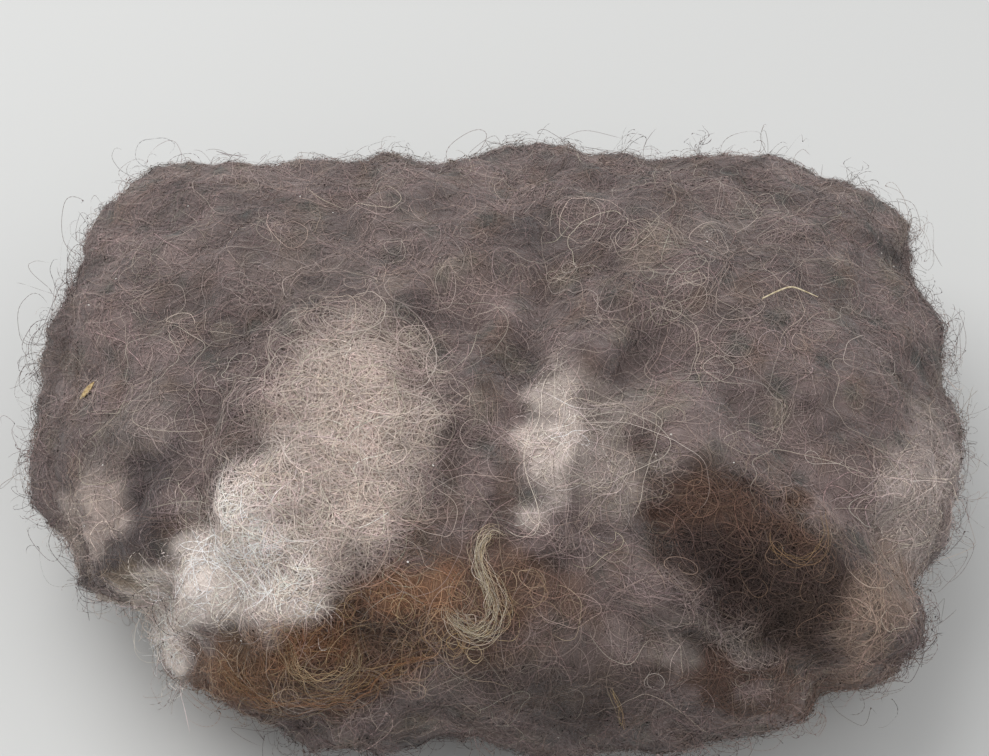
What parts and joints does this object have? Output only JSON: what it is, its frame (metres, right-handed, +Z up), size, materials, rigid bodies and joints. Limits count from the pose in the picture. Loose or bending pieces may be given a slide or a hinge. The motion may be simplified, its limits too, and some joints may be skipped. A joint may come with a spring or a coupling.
{
  "type": "raw musk ox wool",
  "caption": "Loose lumpy mass of raw musk ox down with pressed troughs, rim locks, and pale, rust and dark clumps, lying flat.",
  "frame": {"origin": "centre of the bounding box in plan, on the flat underside that rests on the table", "axes": "+X along the long side, to the right in the picture; +Y away from the near edge; +Z up"},
  "size_m": [0.232, 0.1838, 0.0836],
  "materials": {
    "wool_mass": "matt taupe-brown down",
    "pale_tuft": "matt pale pinkish-beige down",
    "rust_tuft": "matt reddish-brown hair",
    "dark_tuft": "matt very dark brown hair",
    "blonde_lock": "satin straw-blonde guard hair",
    "seed_husk": "dry tan plant husk"
  },
  "bodies": {
    "root": {"wool_mass": "wool_mass", "pale_tuft": "pale_tuft", "rust_tuft": "rust_tuft", "dark_tuft": "dark_tuft", "blonde_lock": "blonde_lock", "seed_husk": "seed_husk"}
  },
  "joints": []
}
